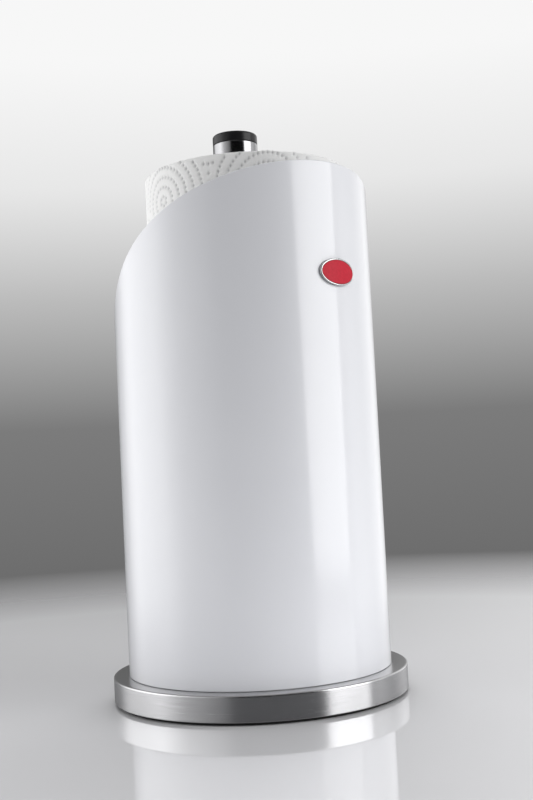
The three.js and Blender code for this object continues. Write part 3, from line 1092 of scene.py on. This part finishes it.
# Soft lights: bearing in degrees to the right of the camera, elevation in degrees, width, height
# and distance in metres, and watts. LOW is a weak strip just above the table, near the shell.
KEY = (68, 14, 0.92, 1.1, 1.3, 8.5)
BACK = (180, 46, 2.2, 1.4, 2.6, 30)
FRONT = (25, 46, 2.2, 1.4, 2.6, 9.5)
LOW = (20, -38.7, 0.7, 0.03, 0.2, 0.06)

# Brightness of the studio's walls, by bearing in degrees to the right of the camera: a wide
# soft light on the left, a dark room behind the camera, and lights at the right and back.
STUDIO_WALLS = (
    (-180, 0.15), (-160, 0.2), (-140, 0.4), (-122, 1.75), (-82, 2.35), (-60, 1.0), (-42, 0.6),
    (-30, 0.35), (-20, 0.0), (44, 0.0), (60, 0.6), (80, 0.2), (100, 1.1), (120, 0.7), (144, 1.2),
    (162, 0.55), (179, 0.15),
)
CEILING = 0.36
CEILING_STARTS = math.radians(36)
# Brightness of the plain backdrop that the camera sees, by the sine of the height above it.
BACKDROP = ((-1.0, 0.14), (-0.12, 0.14), (0.04, 0.2), (0.15, 0.5), (0.24, 0.8), (0.34, 0.93))


def panel(name, bearing, elevation, width, height, distance, watts, mirrored=False):
    """A soft light that faces the object's middle. The camera never sees it."""
    data = bpy.data.lights.new(name, "AREA")
    data.shape = "RECTANGLE"
    data.size = width
    data.size_y = height
    data.energy = watts
    light = bpy.data.objects.new(name, data)
    angle, rise = CAMERA_AZIMUTH + math.radians(bearing), math.radians(elevation)
    aim = (cad_box[0][2] + cad_box[1][2]) / 2
    light.location = around(distance * math.cos(rise), angle, aim + distance * math.sin(rise))
    light.rotation_euler = (math.pi / 2 - rise, 0, angle)
    light.visible_camera = False
    light.visible_glossy = mirrored
    bpy.context.scene.collection.objects.link(light)
    return light


def light_only(light, thing, state):
    """Limits a light to one thing (INCLUDE), or to everything else (EXCLUDE)."""
    lit = bpy.data.collections.new(light.name + "_reach")
    lit.objects.link(thing)
    lit.collection_objects[0].light_linking.link_state = state
    light.light_linking.receiver_collection = lit


def studio_walls():
    """The world: what lights the object, and a plain backdrop that only the camera sees."""
    world = bpy.data.worlds.new("studio")
    bpy.context.scene.world = world
    world.use_nodes = True
    world.node_tree.nodes.clear()
    graph = Graph(world.node_tree)
    x, y, z = graph.split(graph.add("ShaderNodeTexCoord").outputs["Generated"])
    bearing = graph.math("ARCTAN2", x, graph.math("MULTIPLY", y, -1.0))
    bearing = graph.math("SUBTRACT", bearing, CAMERA_AZIMUTH - 1.5 * TURN)
    turn = graph.math("FRACT", graph.math("DIVIDE", bearing, TURN))
    walls = graph.ramp(turn, [(0.5 + degrees / 360, tone) for degrees, tone in STUDIO_WALLS])
    overhead = graph.math("GREATER_THAN", z, math.sin(CEILING_STARTS))
    studio = graph.mix(overhead, walls, (CEILING, CEILING, CEILING))
    height = graph.between(z, 0.0, 1.0, -1.0, 1.0)
    backdrop = graph.ramp(height, [((1 + sine) / 2, tone) for sine, tone in BACKDROP])
    from_camera = graph.add("ShaderNodeLightPath").outputs["Is Camera Ray"]
    glow = graph.add("ShaderNodeBackground")
    graph.feed(glow.inputs[0], graph.mix(from_camera, studio, backdrop))
    graph.feed(graph.add("ShaderNodeOutputWorld").inputs[0], glow.outputs[0])


def light_studio(table):
    """The lights. Only the key shows in glossy surfaces, and in all but the table.

    The key is doubled for that: its image in the table would be a hard white patch.
    """
    light_only(panel("key_softbox", *KEY, mirrored=True), table, "EXCLUDE")
    light_only(panel("key_on_table", *KEY), table, "INCLUDE")
    panel("back_softbox", *BACK)
    panel("front_fill", *FRONT)
    light_only(panel("low_fill", *LOW), table, "EXCLUDE")
    studio_walls()
    view = bpy.context.scene.view_settings
    view.view_transform = "Standard"
    view.look = "None"


# ---- the scene ----


def main():
    place_camera()
    materials = {
        "brushed_steel": turned_steel("brushed_steel", 0.52, 0.62, 0.18, 0.28),
        # The post gets a darker copy of the same steel: painted shade that dims its reflections.
        "shaded_post_steel": turned_steel("shaded_post_steel", 0.34, 0.41, 0.14, 0.22),
        "zinc_steel": zinc_steel(),
        "ballast_iron": ballast_iron(),
        "white_enamel": white_enamel(),
        "black_plastic": black_plastic(),
        "black_rubber": black_rubber(),
        "towel_paper": towel_paper(),
        "grey_board": grey_board(),
        "badge_steel": badge_steel(),
        "red_enamel": red_enamel(),
    }
    build_pieces(materials)
    dress_cad_nodes(materials)
    light_studio(lay_table())


main()
